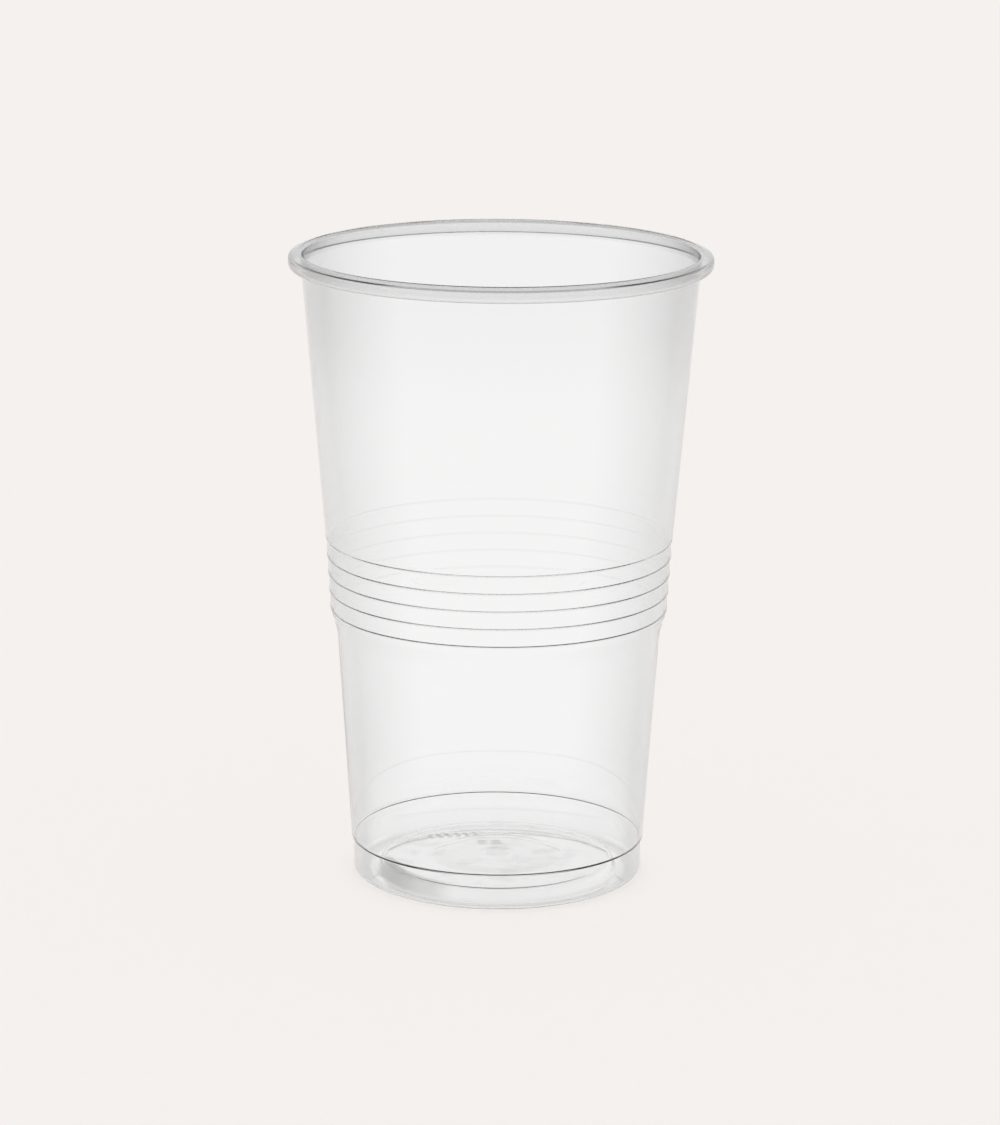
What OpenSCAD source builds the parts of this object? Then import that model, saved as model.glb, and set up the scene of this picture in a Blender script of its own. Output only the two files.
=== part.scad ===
// Clear plastic drinking cup, formed in one piece from a thin sheet.
// It has a rolled rim, a tapered wall, a grip of fine rings above a shoulder,
// a ledge over an upright foot, and a raised floor inside a resting ring.
// Millimetres, +Z up. The cup stands on z = 0 with its axis on Z.
// The wall is turned from one section, drawn to the right of the axis.

/* [Cup] */
// Diameter over the rolled rim
rim_d = 84; // [80:0.5:90]
// Height over all
cup_h = 126.8; // [115:0.2:140]
// Thickness of the formed sheet
sheet_t = 0.35; // [0.25:0.05:0.5]

/* [Rolled rim] */
// Thickness of the sheet round the rim, where it was drawn least
rim_t = 0.5; // [0.4:0.05:0.55]
// Distance from the rim's outside in to the middle of its crest
lip_reach = 2.05; // [1.9:0.05:2.4]
// Rounding of the inner top edge
lip_round = 0.85; // [0.7:0.05:0.95]
// Rounding of the outer top edge
brow_round = 0.75; // [0.6:0.05:0.9]
// Height of the crest above the outer top edge
brow_drop = 0.4; // [0.2:0.05:0.6]
// Rounding of the lower turn
curl_round = 1.25; // [1.1:0.05:1.3]
// Height of the rim from its crest to its underside
curl_h = 2.9; // [2.6:0.1:3.2]
// Turn of the lower edge from the outside down to the free edge, in degrees
curl_turn = 66; // [30:2:90]

/* [Grip rings] */
// Diameter of the wall just above the first ring
grip_d = 69.4; // [68:0.2:71]
// Height of the first ring above the table
grip_z = 69.3; // [66:0.1:74]
// Number of rings
ring_n = 5; // [2:1:5]
// Distance from one ring to the next
ring_pitch = 3.57; // [3:0.01:3.7]
// Step inwards at each ring
ring_step = 0.38; // [0.24:0.02:0.44]
// Swell outwards of the wall from one ring down to the next
ring_swell = 0.16; // [0:0.02:0.2]
// Height of the slope that makes each step
ring_slope_h = 0.37; // [0.25:0.01:0.6]

/* [Shoulder and lower wall] */
// Plain height between the last ring and the shoulder
shoulder_gap = 0.9; // [0.6:0.1:1.6]
// Height of the shoulder
shoulder_h = 3.4; // [2:0.1:5]
// Step inwards at the shoulder
shoulder_step = 1.05; // [0.6:0.05:1.5]

/* [Ledge and foot] */
// Diameter of the wall just above the ledge
ledge_d = 59; // [58.6:0.2:60]
// Height of the ledge above the table
ledge_z = 7.3; // [6.5:0.1:10]
// Height of the slope under the ledge
ledge_slope_h = 0.2; // [0.15:0.05:0.6]
// Diameter of the upright foot
foot_d = 58.15; // [57:0.05:58.4]
// Rounding between the foot and the resting ring
foot_round = 1.5; // [0.8:0.1:2.2]

/* [Raised floor] */
// Diameter inside the resting ring, at the table
recess_d = 47.6; // [44:0.2:50]
// Height of the raised floor above the table
floor_rise = 2.4; // [2.2:0.1:3.6]
// Lean of the step up to the floor, in degrees
recess_lean = 17; // [10:1:22]
// Rounding where the resting ring turns up to the step
mouth_round = 1.2; // [0.8:0.1:1.3]
// Rounding where the step turns in to the floor
floor_round = 1; // [0.6:0.1:1.2]
// Diameter of the panel in the middle of the floor
panel_d = 25; // [18:0.5:30]
// Height of the panel above the floor round it
panel_rise = 0.3; // [0.2:0.05:0.6]
// Diameter of the button in the middle of the panel
button_d = 5; // [3:0.5:8]
// Height of the button above the panel
button_rise = 0.4; // [0.2:0.05:0.6]

/* [Hidden] */
fn_turn = 144;
fn_arc = 36;
rim_r = rim_d / 2;
grip_r = grip_d / 2;
ledge_r = ledge_d / 2;
foot_r = foot_d / 2;

// Centres of the rim's three roundings, each for its outer face
lip_at = [rim_r - lip_reach, cup_h - lip_round];
brow_at = [rim_r - brow_round, cup_h - brow_drop - brow_round];
curl_at = [rim_r - curl_round, cup_h - curl_h + curl_round];

// Lean of the wall whose inner face runs up to touch the crest's rounding
run = lip_at - [grip_r - sheet_t, grip_z];
lean = atan2(run[0], run[1]) - asin(lip_round / norm(run));
wall_out = [-cos(lean), sin(lean)];
wall_up = [sin(lean), cos(lean)];

// Direction in which the top of the rim faces
top_run = brow_at - lip_at;
top_turn = atan2(top_run[1], top_run[0]) + acos((lip_round - brow_round) / norm(top_run));
top_out = [cos(top_turn), sin(top_turn)];

// The last ring, the shoulder and the radius under it
last_z = grip_z - (ring_n - 1) * ring_pitch - ring_slope_h;
last_r = grip_r - ring_n * ring_step + (ring_n - 1) * ring_swell;
shoulder_z = last_z - shoulder_gap;
shoulder_r = last_r - shoulder_step;

// Centres of the two roundings of the recess, which the sheet's two faces share
recess_in = [cos(recess_lean), sin(recess_lean)];
recess_r = recess_d / 2 - mouth_round * tan(recess_lean);
mouth_at = [recess_r + mouth_round / cos(recess_lean), mouth_round];
step_r = recess_d / 2 - (floor_rise - floor_round) * tan(recess_lean);
turn_at = [step_r - floor_round / cos(recess_lean), floor_rise - floor_round];

// The panel's top face, and the centre and radius of the button's crown
panel_z = floor_rise + panel_rise;
crown_r = (pow(button_d / 2, 2) + pow(button_rise, 2)) / (2 * button_rise);
crown_z = panel_z + button_rise - crown_r;

// Points up the outer face from the foot to the rim
outer_points = concat(
    [
        [foot_r, foot_round],
        [foot_r, ledge_z - ledge_slope_h],
        [ledge_r, ledge_z],
        [shoulder_r, shoulder_z - shoulder_h],
        [last_r, shoulder_z]
    ],
    [for (i = [ring_n - 1:-1:0]) each [
        [grip_r - i * (ring_step - ring_swell) - ring_step, grip_z - i * ring_pitch - ring_slope_h],
        [grip_r - i * (ring_step - ring_swell), grip_z - i * ring_pitch]
    ]],
    [lip_at + (lip_round - rim_t) * wall_out]
);

// Outward direction of the face from one point to the next
function facing(a, b) = [b[1] - a[1], a[0] - b[0]] / norm(b - a);

// The same points set in by the given amount, so that the sheet is as thick on a slope as on the wall
function wall_points(inset) = [
    for (i = [1:len(outer_points) - 2])
        let (n = facing(outer_points[i - 1], outer_points[i]))
        let (m = facing(outer_points[i], outer_points[i + 1]))
        outer_points[i] - inset / (1 + n * m) * (n + m)
];

// Area within one face of the sheet: the outer face at inset 0, the inner face at inset sheet_t
module filled(inset, top) {
    polygon(concat(
        [
            [0, inset],
            [foot_r - foot_round, inset],
            [foot_r - inset, foot_round]
        ],
        wall_points(inset),
        top
    ));
    translate([foot_r - foot_round, foot_round])
        circle(r = foot_round - inset, $fn = fn_arc);
}

// Area of the recess under the floor, grown by the given amount
module recess(grow) {
    mouth = mouth_at - (mouth_round - grow) * recess_in;
    turn = turn_at + (floor_round + grow) * recess_in;
    edge = grow * tan(22.5);
    difference() {
        union() {
            polygon([
                [0, -1],
                [mouth_at[0], -1],
                [mouth_at[0], grow],
                mouth,
                turn,
                [turn_at[0], floor_rise + grow],
                [panel_d / 2 + panel_rise + edge, floor_rise + grow],
                [panel_d / 2 + edge, panel_z + grow],
                [0, panel_z + grow]
            ]);
            translate(turn_at)
                circle(r = floor_round + grow, $fn = fn_arc);
            intersection() {
                translate([0, crown_z])
                    circle(r = crown_r + grow, $fn = fn_turn);
                translate([0, floor_rise])
                    square([button_d, floor_rise]);
            }
        }
        translate(mouth_at)
            circle(r = mouth_round - grow, $fn = fn_arc);
    }
}

// Section of the wall, foot and floor; its top end reaches a little way into the rim's sheet
module sheet_section() {
    difference() {
        filled(0, [
            lip_at + (lip_round - rim_t) * wall_out,
            lip_at + (lip_round - rim_t / 2) * [-cos(lean + 10), sin(lean + 10)],
            lip_at + lip_round * wall_out,
            [0, lip_at[1] + lip_at[0] * tan(lean)]
        ]);
        difference() {
            filled(sheet_t, [lip_at + lip_round * wall_out + curl_h * wall_up, [0, cup_h + rim_r]]);
            recess(sheet_t);
        }
        recess(0);
    }
}

// Area within one face of the rim: the outer face at inset 0, the inner face at inset rim_t
module rim_area(inset) {
    translate(lip_at)
        circle(r = lip_round - inset, $fn = fn_arc);
    translate(brow_at)
        circle(r = brow_round - inset, $fn = fn_arc);
    translate(curl_at)
        circle(r = curl_round - inset, $fn = fn_arc);
    polygon([
        lip_at,
        curl_at,
        curl_at + [curl_round - inset, 0],
        brow_at + [brow_round - inset, 0],
        brow_at,
        brow_at + (brow_round - inset) * top_out,
        lip_at + (lip_round - inset) * top_out
    ]);
}

// Section of the rim, open between its free edge and the wall
module rim_section() {
    difference() {
        rim_area(0);
        rim_area(rim_t);
        polygon([
            lip_at,
            lip_at + curl_h * wall_out,
            curl_at + curl_h * [-2, -2],
            curl_at + 2 * curl_h * [cos(curl_turn), -sin(curl_turn)],
            curl_at
        ]);
    }
}

module cup() {
    color([0.9, 0.92, 0.93, 0.35])
        rotate_extrude($fn = fn_turn) {
            sheet_section();
            rim_section();
        }
}

cup();
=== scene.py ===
"""Dresses the clear drinking cup: one turned sheet with a rolled rim, grip rings, ledge and raised floor."""
from math import acos, asin, atan2, cos, hypot, pi, radians, sin, tan

import bpy
from bpy.props import FloatProperty, FloatVectorProperty, IntProperty, PointerProperty
from bpy.types import NodeSocket, Operator, Panel, PropertyGroup
from mathutils import Matrix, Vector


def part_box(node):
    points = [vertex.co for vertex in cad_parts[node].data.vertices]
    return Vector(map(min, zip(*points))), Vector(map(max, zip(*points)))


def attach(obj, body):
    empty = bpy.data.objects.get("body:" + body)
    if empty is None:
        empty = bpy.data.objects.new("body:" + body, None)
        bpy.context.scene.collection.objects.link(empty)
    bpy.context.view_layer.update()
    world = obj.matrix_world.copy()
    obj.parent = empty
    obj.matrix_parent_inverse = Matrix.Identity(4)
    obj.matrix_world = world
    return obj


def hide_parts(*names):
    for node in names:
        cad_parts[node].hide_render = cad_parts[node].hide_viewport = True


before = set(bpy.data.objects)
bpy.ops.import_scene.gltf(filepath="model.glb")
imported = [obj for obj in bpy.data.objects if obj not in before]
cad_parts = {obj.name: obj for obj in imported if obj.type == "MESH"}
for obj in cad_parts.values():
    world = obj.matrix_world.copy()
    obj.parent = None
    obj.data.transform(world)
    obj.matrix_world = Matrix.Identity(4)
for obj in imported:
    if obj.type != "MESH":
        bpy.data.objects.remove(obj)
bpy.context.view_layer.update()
CUP_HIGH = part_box("cup")[1]
MM = 0.001

# Steps in which the section's roundings and its flat runs are drawn, and parts of the way up the high wall
BUTTON_STEPS, TURN_STEPS, MOUTH_STEPS, FOOT_STEPS = 6, 7, 7, 8
LIP_STEPS, BROW_STEPS, CURL_STEPS, EDGE_STEPS = 14, 9, 8, 6
BEND_STEPS, SMALL_BEND_STEPS = 6, 3
FLOOR_STEPS, RESTING_STEPS = 4, 5
WALL_PARTS = (0.01, 0.25, 0.5, 0.75, 0.99)

# Distance from a bend to the next point, and the share of the side beside it that a bend may take up
HOLD = 0.3 * MM
BEND_SHARE = 0.45

# Heights in millimetres between which the painted shade, haze or scuffs of a part of the cup fade in
RIM_FROM, RIM_CREST = (123.6, 124.4), (126.6, 126.1)
RIM_SHADE_FROM, RIM_HAZE_FROM = (123.5, 123.9), (123.5, 124.2)
HIGH_WALL_EDGE, HIGH_WALL, LOW_WALL = (90, 116), (98, 114), (38, 24)
LEDGE_FROM, WALL_FROM, WALL_UNDER_RIM = (7.6, 8.4), (8, 20), (124.4, 123.6)
FOOT_UNDER_LEDGE, LOW_FOOT = (7.2, 6.6), (5.2, 3.2)
FLOOR_UNDER, PATCH_UNDER = (4.5, 4.0), (3.1, 2.9)

# Radii in millimetres between which the painted shade or scuffs of a part of the cup fade in
FLOOR_WITHIN, PANEL_WITHIN, FOOT_BEYOND = (23.2, 22.4), (15, 11), (25.4, 26.2)

# Turns of the sheet between which its painted edge shade fades in: 0 faces the eye, and 1 is edge on
SHEET_TURN, RIM_END_TURN, FOOT_TURN = (0.16, 0.58), (0.35, 0.85), (0.42, 0.65)

bl_info = {
    "name": "Clear drinking cup",
    "version": (1, 0, 0),
    "blender": (4, 5, 0),
    "location": "3D View > Sidebar > Cup",
    "description": "Turns the sheet of a clear drinking cup and lights it on a pale table",
    "category": "Add Mesh",
}


def size(name, default_mm, description):
    """A length that a user may change, given in millimetres."""
    default = default_mm * MM
    return FloatProperty(name=name, description=description, default=default, unit="LENGTH", precision=5)


def turn_of(name, default_degrees, description):
    """An angle that a user may change, given in degrees."""
    default = radians(default_degrees)
    return FloatProperty(name=name, description=description, default=default, subtype="ANGLE")


def share(name, default, description):
    """A share from 0 to 1 that a user may change."""
    return FloatProperty(
        name=name, description=description, default=default, min=0, max=1, subtype="FACTOR", precision=3
    )


class CupSizes(PropertyGroup):
    """Sizes of the formed sheet."""

    rim_radius: size("Rim radius", CUP_HIGH[0] / MM, "Radius over the rolled rim")
    height: size("Height", CUP_HIGH[2] / MM, "Height over all")
    sheet: size("Sheet", 0.35, "Thickness of the formed sheet")
    rim_sheet: size("Rim sheet", 0.5, "Thickness of the sheet round the rim, where it was drawn least")
    lip_round: size("Lip rounding", 0.85, "Rounding of the rim's inner top edge")
    lip_reach: size("Lip reach", 2.05, "From the rim's outside in to its crest")
    brow_round: size("Brow rounding", 0.75, "Rounding of the rim's outer top edge")
    brow_drop: size("Brow drop", 0.4, "How far the rim's outer edge lies under its crest")
    curl_round: size("Curl rounding", 1.25, "Rounding of the rim's lower turn")
    curl_height: size("Curl height", 3.15, "Height of the rim")
    curl_end: turn_of("Curl end", 55, "Turn of the rim's lower edge under its outside")
    grip_radius: size("Grip radius", 34.7, "Wall radius just above the first ring")
    grip_z: size("Grip height", 69.3, "Height of the first ring")
    rings: IntProperty(name="Rings", description="Number of grip rings", default=5, min=1, max=8)
    ring_pitch: size("Ring pitch", 3.57, "Distance from one ring to the next")
    ring_step: size("Ring step", 0.38, "Step inwards at each ring")
    ring_swell: size("Ring swell", 0.16, "How far the wall swells out again from one ring down to the next")
    ring_slope: size("Ring slope", 0.37, "Height of the slope of each step")
    ring_soft: size("Ring softness", 0.16, "Length over which each bend of a ring is rounded")
    shoulder_gap: size("Shoulder gap", 0.9, "Plain height between the last ring and the shoulder")
    shoulder_height: size("Shoulder height", 3.4, "Height of the shoulder")
    shoulder_step: size("Shoulder step", 1.05, "Step inwards at the shoulder")
    shoulder_soft: size("Shoulder softness", 1.6, "Length over which each bend of the shoulder is rounded")
    ledge_radius: size("Ledge radius", 29.5, "Wall radius just above the ledge")
    ledge_z: size("Ledge height", 7.3, "Height of the ledge")
    ledge_slope: size("Ledge slope", 0.2, "Height of the slope under the ledge")
    ledge_lift: size("Ledge lift", 0.07, "How far the inner face is lifted at the ledge")
    ledge_soft: size("Ledge softness", 0.3, "Length over which the ledge's upper bend is rounded")
    foot_soft: size("Foot softness", 0.1, "Length over which the bend under the ledge is rounded")
    foot_radius: size("Foot radius", 29.075, "Radius of the upright foot")
    foot_round: size("Foot rounding", 1.5, "Rounding between the foot and the resting ring")
    recess_radius: size("Recess radius", 23.8, "Radius inside the resting ring")
    recess_lean: turn_of("Recess lean", 17, "Lean of the step up to the floor")
    floor_rise: size("Floor rise", 2.4, "Height of the raised floor")
    mouth_round: size("Mouth rounding", 1.2, "Rounding where the resting ring turns up")
    floor_round: size("Floor rounding", 1.0, "Rounding where the step turns in to the floor")
    panel_radius: size("Panel radius", 12.5, "Radius of the panel in the floor's middle")
    panel_rise: size("Panel rise", 0.3, "Height of the panel above the floor")
    panel_soft: size("Panel softness", 0.25, "How far the panel's slope reaches out further on each side")
    button_radius: size("Button radius", 2.5, "Radius of the button in the panel's middle")
    button_rise: size("Button rise", 0.4, "Height of the button above the panel")
    turns: IntProperty(name="Turn steps", description="Faces round the cup", default=288, min=24, max=288)


class SheetShadeAndFinish(PropertyGroup):
    """Painted shade, haze, relief, scuffs and marks of the sheet. A grey is what one face takes from the
    light through it as seen: painted shade on edges, rim, wall, foot and floor, or the scuffs and strokes.
    """

    refraction: FloatProperty(
        name="Refraction", description="Refractive index of the sheet", default=1.57, min=1, max=2
    )
    # Painted shade: greys of the sheet seen edge on, for the darker surroundings it reflects at its limbs
    wall_edge_shade: share("Wall edge", 0.18, "Grey of the wall seen edge on")
    high_edge_shade: share("High wall edge", 0.09, "Further grey of the high wall seen edge on")
    low_edge_shade: share("Low wall edge", 0.04, "Further grey of the low wall seen edge on")
    rim_edge_shade: share("Rim edge", 0.12, "Grey of the rim seen edge on")
    rim_end_shade: share("Rim end", 0.4, "Further grey of the rim's ends")
    foot_edge_shade: share("Foot edge", 0.2, "Grey of the foot and the wall above the ledge, seen edge on")
    # Painted shade: greys of the rim, high wall, foot, low foot, floor and panel from any side
    rim_shade: share("Rim grey", 0.07, "Grey of the rim from any side")
    high_wall_shade: share("High wall grey", 0.024, "Grey of the high wall from any side")
    foot_shade: share("Foot grey", 0.012, "Grey of the foot from any side")
    low_foot_shade: share("Low foot grey", 0.033, "Further grey of the foot's low end")
    floor_shade: share("Floor grey", 0.018, "Grey of the floor")
    panel_shade: share("Panel grey", 0.035, "Further grey of the floor's middle")
    scuff_grey: share("Scuff grey", 0.08, "Grey of the floor's scuffs")
    stroke_grey: share("Stroke grey", 0.22, "Grey of the strokes")
    # Painted shade of the refracted recess step, along the floor's edge
    patch_shade: share("Patch grey", 0.25, "Grey of the dark patch, which doubles along it")
    rim_haze: share("Rim haze", 0.09, "Roughness of the rim")
    scuff_haze: share("Scuff haze", 0.08, "Roughness of the scuffs")
    wave_relief: share("Wave relief", 0.012, "Height of the waves drawn up the wall, in millimetres")
    stroke_relief: share("Stroke relief", 0.02, "Height of the strokes, in millimetres")


class CupStage(PropertyGroup):
    """Colours, light and camera of the stage."""

    background: FloatVectorProperty(
        name="Background",
        description="Colour of the table and backdrop",
        subtype="COLOR",
        size=3,
        default=(0.913, 0.880, 0.855),
    )
    table_level: share("Table level", 0.91, "Grey of the table seen through the sheet")
    table_size: FloatProperty(name="Table size", description="Side of the table", default=12, unit="LENGTH")
    table_gap: size("Table gap", 0.1, "Gap between the table and the cup")
    low_sky: share("Low sky", 0.9, "Level of the light from low round the cup")
    low_sky_end: share("Low sky end", 0.62, "Height where the low sky ends, 0 at the bottom, 1 at the top")
    high_sky: share("High sky", 0.5, "Level of the light from above")
    high_sky_start: share("High sky start", 0.8, "Height where the high sky starts")
    lens: FloatProperty(name="Lens", description="Focal length", default=141.41, unit="CAMERA")
    camera_side: size("Camera side", 0.19, "How far the camera stands to the right of the cup's axis")
    distance: size("Camera distance", 860.3, "Distance of the camera in front of the cup's axis")
    camera_height: size("Camera height", 272.7, "Height of the camera above the table")
    pitch: turn_of("Pitch", 13.652, "How far the camera looks down")
    roll: turn_of("Roll", 0.396, "Lean of the camera")


def deselect_all():
    """Leave object mode and deselect everything."""
    if bpy.context.mode != "OBJECT":
        bpy.ops.object.mode_set(mode="OBJECT")
    bpy.ops.object.select_all(action="DESELECT")


def arc(centre, radius, start, end, steps):
    """Points on a circle from one angle to another, both ends included."""
    angles = [start + (end - start) * i / steps for i in range(steps + 1)]
    return [(centre[0] + radius * cos(a), centre[1] + radius * sin(a)) for a in angles]


def level_run(start, end, z, steps):
    """Points at one height from one radius to another, both ends included."""
    return [(start + (end - start) * i / steps, z) for i in range(steps + 1)]


def between(a, b, part):
    """Point that lies a part of the way from a to b."""
    return (a[0] + (b[0] - a[0]) * part, a[1] + (b[1] - a[1]) * part)


def length(a, b):
    """Distance from a to b."""
    return hypot(b[0] - a[0], b[1] - a[1])


def outward(a, b):
    """Outward direction of the face from a up to b."""
    return ((b[1] - a[1]) / length(a, b), (a[0] - b[0]) / length(a, b))


def set_in(face, depth):
    """The face's bends, set in by a depth so that the sheet is as thick on a slope as on the wall."""
    bends = []
    for a, b, c in zip(face, face[1:], face[2:]):
        low, high = outward(a, b), outward(b, c)
        k = depth / (1 + low[0] * high[0] + low[1] * high[1])
        bends.append((b[0] - k * (low[0] + high[0]), b[1] - k * (low[1] + high[1])))
    return bends


def softened(chain, bends):
    """The chain from its first bend to its end, each bend rounded over its own length, in its own steps."""
    line = []
    for (a, b, c), (soft, steps) in zip(zip(chain, chain[1:], chain[2:]), bends):
        soft = min(soft, BEND_SHARE * length(a, b), BEND_SHARE * length(b, c))
        p, q = between(b, a, soft / length(a, b)), between(b, c, soft / length(b, c))
        if line and length(line[-1], p) > 1 * MM:
            start = line[-1]
            hold = HOLD / length(start, p)
            line += [between(start, p, hold), between(start, p, 1 - hold)]
        for i in range(steps + 1):
            line.append(between(between(p, b, i / steps), between(b, q, i / steps), i / steps))
    start = line[-1]
    return line + [between(start, chain[-1], part) for part in WALL_PARTS]


def sheet_line(s):
    """The sheet's section as points, up its outer face to the rim's free edge and back over its inner."""
    lip = (s.rim_radius - s.lip_reach, s.height - s.lip_round)
    brow = (s.rim_radius - s.brow_round, s.height - s.brow_drop - s.brow_round)
    curl = (s.rim_radius - s.curl_round, s.height - s.curl_height + s.curl_round)
    base = (s.grip_radius - s.sheet, s.grip_z)
    lean = atan2(lip[0] - base[0], lip[1] - base[1]) - asin(s.lip_round / length(base, lip))
    over = atan2(brow[1] - lip[1], brow[0] - lip[0])
    over += acos((s.lip_round - s.brow_round) / length(lip, brow))
    in_by = tan(s.recess_lean)
    mouth = (s.recess_radius - s.mouth_round * in_by + s.mouth_round / cos(s.recess_lean), s.mouth_round)
    turn_z = s.floor_rise - s.floor_round
    turn = (s.recess_radius - turn_z * in_by - s.floor_round / cos(s.recess_lean), turn_z)
    foot = (s.foot_radius - s.foot_round, s.foot_round)
    panel_z = s.floor_rise + s.panel_rise
    crown = (s.button_radius ** 2 + s.button_rise ** 2) / (2 * s.button_rise)
    crown_z = panel_z + s.button_rise - crown

    def floor(g):
        """Floor from the axis out to the foot, on the face that lies g above the underside."""
        line = arc((0, crown_z), crown + g, pi / 2, pi / 2 - asin(s.button_radius / crown), BUTTON_STEPS)
        start, end = line[-1][0] + HOLD, s.panel_radius - s.panel_soft
        line += level_run(start, end, panel_z + g, FLOOR_STEPS)
        line += [(s.panel_radius + s.panel_rise + s.panel_soft, s.floor_rise + g)]
        line += level_run(line[-1][0] + HOLD, turn[0], s.floor_rise + g, FLOOR_STEPS)[:-1]
        line += arc(turn, s.floor_round + g, pi / 2, s.recess_lean, TURN_STEPS)
        line += arc(mouth, s.mouth_round - g, pi + s.recess_lean, 1.5 * pi, MOUTH_STEPS)
        line += level_run(mouth[0], foot[0], g, RESTING_STEPS)[1:-1]
        return line + arc(foot, s.foot_round - g, -pi / 2, 0, FOOT_STEPS)

    def lip_end(reach):
        """Point where the wall meets the rim, at a reach from the centre of the lip's rounding."""
        return (lip[0] - reach * cos(lean), lip[1] + reach * sin(lean))

    def wall(g):
        """Wall from the foot up to the rim, a distance g inside its outer face, with its bends rounded."""
        top_z = s.grip_z - (s.rings - 1) * s.ring_pitch - s.ring_slope - s.shoulder_gap
        top_r = s.grip_radius - s.rings * s.ring_step + (s.rings - 1) * s.ring_swell
        face = [(s.foot_radius, s.foot_round)]
        face += [(s.foot_radius, s.ledge_z - s.ledge_slope), (s.ledge_radius, s.ledge_z)]
        face += [(top_r - s.shoulder_step, top_z - s.shoulder_height), (top_r, top_z)]
        for i in reversed(range(s.rings)):
            z, r = s.grip_z - i * s.ring_pitch, s.grip_radius - i * (s.ring_step - s.ring_swell)
            face += [(r - s.ring_step, z - s.ring_slope), (r, z)]
        face.append(lip_end(s.lip_round - s.rim_sheet))
        chain = [(s.foot_radius - g, s.foot_round)] + set_in(face, g)
        for n in (1, 2):
            chain[n] = (chain[n][0], chain[n][1] + s.ledge_lift * g / s.sheet)
        chain.append(lip_end(s.lip_round - s.rim_sheet * (1 - g / s.sheet)))
        bends = [(s.foot_soft, SMALL_BEND_STEPS), (s.ledge_soft, BEND_STEPS)]
        bends += [(s.shoulder_soft, BEND_STEPS)] * 2 + [(s.ring_soft, SMALL_BEND_STEPS)] * (2 * s.rings)
        return softened(chain, bends)

    def rim(cut):
        """Rim from the wall over its crest and round the curl, a distance cut inside its shown face."""
        line = arc(lip, s.lip_round - cut, pi - lean, over, LIP_STEPS)
        line += arc(brow, s.brow_round - cut, over, 0, BROW_STEPS)
        return line + arc(curl, s.curl_round - cut, 0, -s.curl_end, CURL_STEPS)

    middle = s.curl_round - s.rim_sheet / 2
    end = (curl[0] + middle * cos(s.curl_end), curl[1] - middle * sin(s.curl_end))
    edge = arc(end, s.rim_sheet / 2, pi - s.curl_end, 2 * pi - s.curl_end, EDGE_STEPS)[1:-1]
    outer_face = floor(0.0) + wall(0.0) + rim(s.rim_sheet)
    inner_face = floor(s.sheet) + wall(s.sheet) + rim(0.0)
    return outer_face + edge + inner_face[::-1]


def plug(nt, socket, value):
    """Set a socket to a value, or link another node's output to it."""
    if isinstance(value, NodeSocket):
        nt.links.new(value, socket)
    else:
        socket.default_value = value


def calc(nt, operation, *values):
    """Result of a math node."""
    n = nt.nodes.new("ShaderNodeMath")
    n.operation = operation
    for socket, value in zip(n.inputs, values):
        plug(nt, socket, value)
    return n.outputs[0]


def folded(nt, operation, values):
    """All values joined by one operation."""
    result = values[0]
    for value in values[1:]:
        result = calc(nt, operation, result, value)
    return result


def total(nt, *values):
    """Sum of the values."""
    return folded(nt, "ADD", values)


def product(nt, *values):
    """Product of the values."""
    return folded(nt, "MULTIPLY", values)


def highest(nt, *values):
    """Highest of the values."""
    return folded(nt, "MAXIMUM", values)


def rise(nt, value, start, end, kind="SMOOTHSTEP"):
    """Rise from 0 at start to 1 at end."""
    n = nt.nodes.new("ShaderNodeMapRange")
    n.interpolation_type = kind
    n.inputs["From Min"].default_value = start
    n.inputs["From Max"].default_value = end
    nt.links.new(value, n.inputs["Value"])
    return n.outputs["Result"]


def rise_mm(nt, value, ends):
    """Rise from 0 at the first end to 1 at the second, both in millimetres."""
    return rise(nt, value, ends[0] * MM, ends[1] * MM)


def window(nt, value, low, high, soft):
    """1 between low and high, with soft edges."""
    return product(nt, rise(nt, value, low - soft, low + soft), rise(nt, value, high + soft, high - soft))


def axes_of(nt, place):
    """X, Y and Z of a place."""
    n = nt.nodes.new("ShaderNodeSeparateXYZ")
    nt.links.new(place, n.inputs[0])
    return n.outputs


def noise(nt, place, stretch, scale, detail):
    """Noise on a stretched place."""
    stretched = nt.nodes.new("ShaderNodeMapping")
    stretched.inputs["Scale"].default_value = stretch
    nt.links.new(place, stretched.inputs["Vector"])
    n = nt.nodes.new("ShaderNodeTexNoise")
    n.inputs["Scale"].default_value = scale
    n.inputs["Detail"].default_value = detail
    nt.links.new(stretched.outputs["Vector"], n.inputs["Vector"])
    return n.outputs["Fac"]


def stroke_row(nt, place, start, turn, long, half, pitch, fill):
    """Row of plain strokes: its start, length, half width and pitch in millimetres, its turn in degrees."""
    end_soft, side_soft, stroke_soft = 0.3 * MM, 0.7 * MM, 0.22
    turned = nt.nodes.new("ShaderNodeMapping")
    turned.vector_type = "TEXTURE"
    turned.inputs["Location"].default_value = (start[0] * MM, start[1] * MM, 0)
    turned.inputs["Rotation"].default_value = (0, 0, radians(turn))
    nt.links.new(place, turned.inputs["Vector"])
    along, across, _ = axes_of(nt, turned.outputs["Vector"])
    stroke = calc(nt, "FRACT", product(nt, along, 1 / (pitch * MM)))
    return product(
        nt,
        window(nt, along, 0.0, long * MM, end_soft),
        window(nt, across, -half * MM, half * MM, side_soft),
        window(nt, stroke, 0.5 - fill / 2, 0.5 + fill / 2, stroke_soft),
    )


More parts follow.
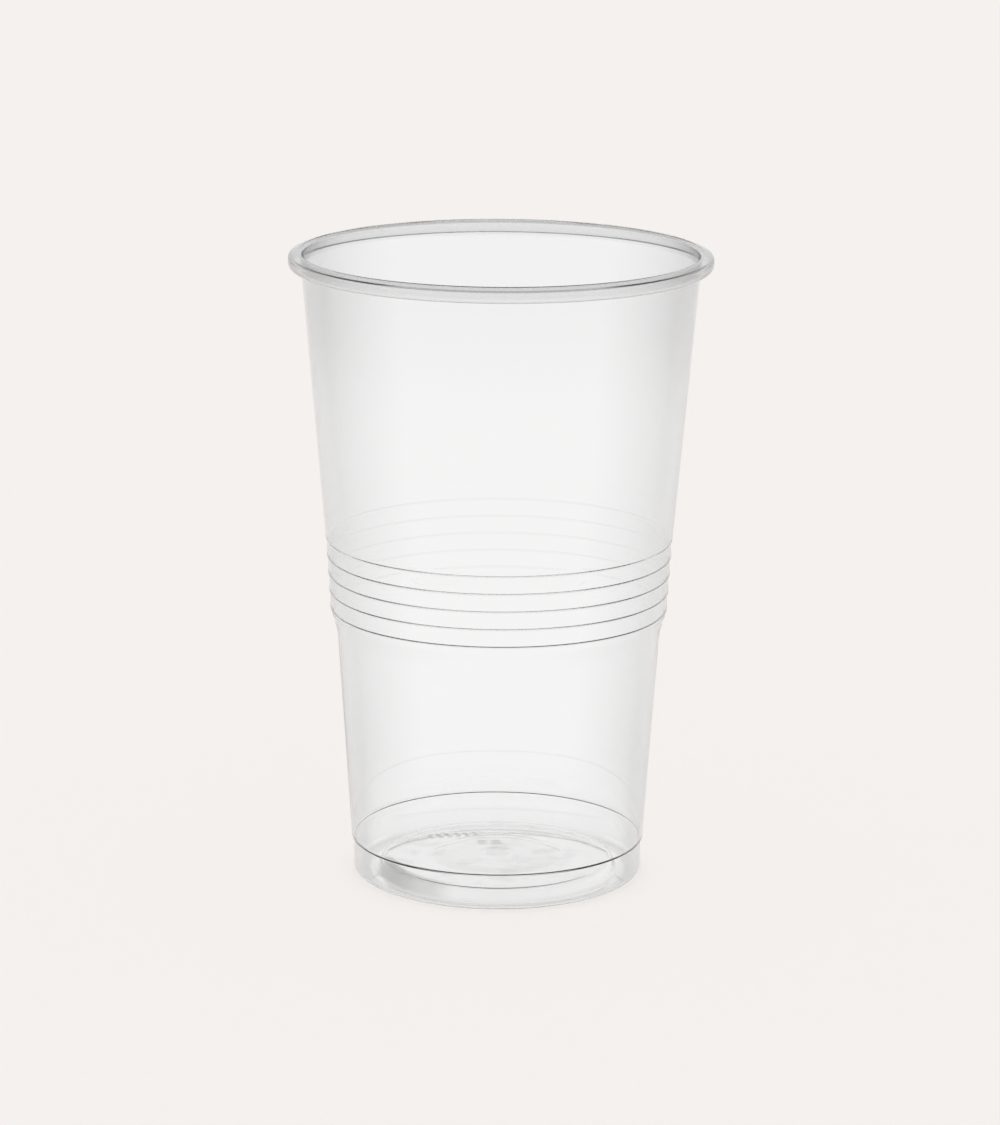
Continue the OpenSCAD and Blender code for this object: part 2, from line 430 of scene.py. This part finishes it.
def painted_edge_shade(nt, f, z, on_foot):
    """Painted shade of the sheet seen edge on: strongest high on the wall, and only far out on the foot."""
    edge = nt.nodes.new("ShaderNodeLayerWeight")
    edge.inputs["Blend"].default_value = 0.5
    facing = edge.outputs["Facing"]
    turned = rise(nt, facing, *SHEET_TURN, "LINEAR")
    high_wall_edge_shade = product(nt, f.high_edge_shade, rise_mm(nt, z, HIGH_WALL_EDGE))
    low_wall_edge_shade = product(nt, f.low_edge_shade, rise_mm(nt, z, LOW_WALL))
    on_wall = product(nt, rise_mm(nt, z, WALL_FROM), rise_mm(nt, z, WALL_UNDER_RIM))
    wall = product(nt, total(nt, f.wall_edge_shade, high_wall_edge_shade, low_wall_edge_shade), turned, on_wall)
    on_rim = product(nt, rise_mm(nt, z, RIM_FROM), rise_mm(nt, z, RIM_CREST))
    # Painted shade at the rim's ends, darker the more edge on
    rim_end_shade = product(nt, f.rim_end_shade, rise(nt, facing, *RIM_END_TURN))
    rim = product(nt, total(nt, product(nt, f.rim_edge_shade, turned), rim_end_shade), on_rim)
    above_ledge = product(nt, rise_mm(nt, z, LEDGE_FROM), rise_mm(nt, z, WALL_FROM[::-1]))
    foot = product(nt, f.foot_edge_shade, rise(nt, facing, *FOOT_TURN), total(nt, on_foot, above_ledge))
    return total(nt, wall, rim, foot)


def painted_dark_patch(nt, f, radius, angle, z):
    """Painted shade of the refracted recess step: a dark patch along the floor's edge, which darkens along
    its length.
    """
    first, last, end_soft = radians(-172), radians(-118), radians(8)
    inner, outer, side_soft = 21.4 * MM, 24.4 * MM, 0.8 * MM
    dark_from, dark_to = radians(-125), radians(-150)
    along = window(nt, angle, first, last, end_soft)
    across = window(nt, radius, inner, outer, side_soft)
    darker = total(nt, f.patch_shade, product(nt, f.patch_shade, rise(nt, angle, dark_from, dark_to)))
    return product(nt, along, across, rise_mm(nt, z, PATCH_UNDER), darker)


def clear_sheet(f):
    """Clear gloss plastic with painted shade, greyer seen edge on and over rim, high wall, foot and floor;
    wavy from forming, and scuffed and marked on its floor.
    """
    m = bpy.data.materials.new("clear_sheet")
    m.use_nodes = True
    nt = m.node_tree
    p = nt.nodes["Principled BSDF"]
    p.inputs["Transmission Weight"].default_value = 1
    p.inputs["IOR"].default_value = f.refraction
    place = nt.nodes.new("ShaderNodeTexCoord").outputs["Object"]
    x, y, z = axes_of(nt, place)
    radius = calc(nt, "SQRT", total(nt, product(nt, x, x), product(nt, y, y)))
    angle = calc(nt, "ARCTAN2", y, x)
    on_floor = product(nt, rise_mm(nt, radius, FLOOR_WITHIN), rise_mm(nt, z, FLOOR_UNDER))
    on_foot = product(nt, rise_mm(nt, z, FOOT_UNDER_LEDGE), rise_mm(nt, radius, FOOT_BEYOND))

    # Rows of plain strokes on the floor, and its scuffs
    marks = highest(
        nt,
        stroke_row(nt, place, start=(-14.6, 11.4), turn=12, long=11.0, half=1.5, pitch=1.85, fill=0.5),
        stroke_row(nt, place, start=(-4.6, 6.9), turn=4, long=6.0, half=1.4, pitch=2.9, fill=0.6),
    )
    clouds = noise(nt, place, stretch=(1, 1, 1), scale=220, detail=4)
    scuff = product(nt, rise(nt, clouds, start=0.48, end=0.68), on_floor)

    # Greys of what is seen, painted shade together with the scuffs and strokes, which leave the light that
    # the sheet lets through to the table as it is
    foot_shade = total(nt, f.foot_shade, product(nt, f.low_foot_shade, rise_mm(nt, z, LOW_FOOT)))
    floor_shade = total(nt, f.floor_shade, product(nt, f.panel_shade, rise_mm(nt, radius, PANEL_WITHIN)))
    shade_and_marks = total(
        nt,
        painted_edge_shade(nt, f, z, on_foot),
        product(nt, f.rim_shade, rise_mm(nt, z, RIM_SHADE_FROM)),
        product(nt, f.high_wall_shade, rise_mm(nt, z, HIGH_WALL)),
        product(nt, foot_shade, on_foot),
        product(nt, floor_shade, on_floor),
        product(nt, f.scuff_grey, scuff),
        product(nt, f.stroke_grey, marks),
        painted_dark_patch(nt, f, radius, angle, z),
    )
    seen = calc(nt, "LESS_THAN", nt.nodes.new("ShaderNodeLightPath").outputs["Diffuse Depth"], 0.5)
    level = calc(nt, "SUBTRACT", 1.0, product(nt, shade_and_marks, seen))
    colour = nt.nodes.new("ShaderNodeCombineColor")
    for channel in colour.inputs:
        nt.links.new(level, channel)
    nt.links.new(colour.outputs["Color"], p.inputs["Base Color"])

    # Haze of the scuffed floor and of the warm-rolled rim
    rim_haze = product(nt, f.rim_haze, rise_mm(nt, z, RIM_HAZE_FROM))
    nt.links.new(total(nt, rim_haze, product(nt, f.scuff_haze, scuff)), p.inputs["Roughness"])

    # Faint waves drawn up the wall, and the strokes' relief
    wave = product(nt, f.wave_relief, noise(nt, place, stretch=(1, 1, 0.12), scale=140, detail=3))
    bump = nt.nodes.new("ShaderNodeBump")
    bump.inputs["Strength"].default_value = 1.0
    bump.inputs["Distance"].default_value = 1 * MM
    nt.links.new(total(nt, wave, product(nt, f.stroke_relief, marks)), bump.inputs["Height"])
    nt.links.new(bump.outputs["Normal"], p.inputs["Normal"])
    return m


def colour_mix(nt, factor, a, b):
    """Colour that goes from a to b as the factor goes from 0 to 1."""
    n = nt.nodes.new("ShaderNodeMix")
    n.data_type = "RGBA"
    for name, value in (("Factor", factor), ("A", a), ("B", b)):
        plug(nt, n.inputs[name], value)
    return n.outputs["Result"]


def pale_table(st):
    """Matt table in the backdrop's colour, neutral where it is seen through the sheet."""
    m = bpy.data.materials.new("pale_table")
    m.use_nodes = True
    nt = m.node_tree
    p = nt.nodes["Principled BSDF"]
    p.inputs["Roughness"].default_value = 1
    p.inputs["Specular IOR Level"].default_value = 0
    through = nt.nodes.new("ShaderNodeLightPath").outputs["Is Transmission Ray"]
    neutral = (st.table_level, st.table_level, st.table_level, 1)
    nt.links.new(colour_mix(nt, through, (*st.background, 1), neutral), p.inputs["Base Color"])
    return m


def studio(st):
    """World that shows the backdrop, lights the table in white, and is dimmer above for the cup's gloss."""
    world = bpy.data.worlds.new("studio")
    world.use_nodes = True
    world.cycles.sampling_method = "NONE"
    nt = world.node_tree
    path = nt.nodes.new("ShaderNodeLightPath")
    height = axes_of(nt, nt.nodes.new("ShaderNodeTexCoord").outputs["Generated"])["Z"]
    ramp = nt.nodes.new("ShaderNodeValToRGB")
    ends = ((st.low_sky_end, st.low_sky), (st.high_sky_start, st.high_sky))
    for element, (position, level) in zip(ramp.color_ramp.elements, ends):
        element.position = position
        element.color = (level, level, level, 1)
    nt.links.new(calc(nt, "MULTIPLY_ADD", height, 0.5, 0.5), ramp.inputs["Fac"])
    on_table = calc(nt, "GREATER_THAN", path.outputs["Diffuse Depth"], 0.5)
    sky = colour_mix(nt, on_table, ramp.outputs["Color"], (1, 1, 1, 1))
    shown = colour_mix(nt, path.outputs["Is Camera Ray"], sky, (*st.background, 1))
    nt.links.new(shown, nt.nodes["Background"].inputs["Color"])
    return world


class CUP_OT_shell(Operator):
    """Turn the cup from the section of its sheet"""

    bl_idname = "cup.shell"
    bl_label = "Turn the cup"

    def execute(self, context):
        s = context.scene.cup_sizes
        deselect_all()
        bpy.ops.mesh.primitive_plane_add(size=0.01, location=(0, 0, 0))
        shell = context.object
        shell.name = "cup_shell"
        line = sheet_line(s)
        bpy.ops.object.mode_set(mode="EDIT")
        bpy.ops.mesh.select_mode(type="VERT")
        bpy.ops.mesh.select_all(action="SELECT")
        bpy.ops.mesh.merge(type="CENTER")
        bpy.ops.transform.translate(value=(line[0][0], 0, line[0][1]))
        for a, b in zip(line, line[1:]):
            step = (b[0] - a[0], 0, b[1] - a[1])
            bpy.ops.mesh.extrude_region_move(TRANSFORM_OT_translate={"value": step})
        bpy.ops.mesh.select_all(action="SELECT")
        bpy.ops.mesh.spin(steps=s.turns, angle=2 * pi, center=(0, 0, 0), axis=(0, 0, 1))
        bpy.ops.mesh.select_all(action="SELECT")
        bpy.ops.mesh.remove_doubles(threshold=1e-6)
        bpy.ops.mesh.normals_make_consistent(inside=False)
        bpy.ops.object.mode_set(mode="OBJECT")
        bpy.ops.object.shade_smooth()
        shell.data.materials.append(clear_sheet(context.scene.sheet_finish))
        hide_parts("cup")
        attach(shell, "root")
        return {"FINISHED"}


class CUP_OT_stage(Operator):
    """Set the table, the light and the camera"""

    bl_idname = "cup.stage"
    bl_label = "Set the stage"

    def execute(self, context):
        scene = context.scene
        st = scene.cup_stage
        deselect_all()
        bpy.ops.mesh.primitive_plane_add(size=st.table_size, location=(0, 0, -st.table_gap))
        table = context.object
        table.name = "table"
        table.data.materials.append(pale_table(st))
        scene.world = studio(st)

        deselect_all()
        bpy.ops.object.camera_add(location=(st.camera_side, -st.distance, st.camera_height))
        cam = context.object
        cam.name = "camera"
        cam.data.lens = st.lens
        cam.data.sensor_width = 36
        cam.data.clip_start = 0.01
        cam.data.clip_end = 50
        looking = Matrix.Rotation(pi / 2 - st.pitch, 3, "X") @ Matrix.Rotation(st.roll, 3, "Z")
        cam.rotation_euler = looking.to_euler()
        scene.camera = cam
        scene.view_settings.view_transform = "Standard"
        scene.cycles.transmission_bounces = 24
        scene.cycles.max_bounces = 32
        scene.cycles.blur_glossy = 0
        return {"FINISHED"}


class CUP_PT_sidebar(Panel):
    """Lists the steps that make the cup"""

    bl_label = "Clear cup"
    bl_idname = "CUP_PT_sidebar"
    bl_space_type = "VIEW_3D"
    bl_region_type = "UI"
    bl_category = "Cup"

    def draw(self, context):
        for step in STEPS:
            self.layout.operator(step.bl_idname)


STEPS = (CUP_OT_shell, CUP_OT_stage)
CLASSES = (CupSizes, SheetShadeAndFinish, CupStage, *STEPS, CUP_PT_sidebar)


def register():
    """Register the classes and hang their values on the scene."""
    for c in CLASSES:
        bpy.utils.register_class(c)
    bpy.types.Scene.cup_sizes = PointerProperty(type=CupSizes)
    bpy.types.Scene.sheet_finish = PointerProperty(type=SheetShadeAndFinish)
    bpy.types.Scene.cup_stage = PointerProperty(type=CupStage)


def unregister():
    """Take the values and the classes out again."""
    del bpy.types.Scene.cup_stage
    del bpy.types.Scene.sheet_finish
    del bpy.types.Scene.cup_sizes
    for c in reversed(CLASSES):
        bpy.utils.unregister_class(c)


def main():
    """Make the cup and its stage."""
    register()
    bpy.ops.cup.shell()
    bpy.ops.cup.stage()


if __name__ == "__main__":
    main()
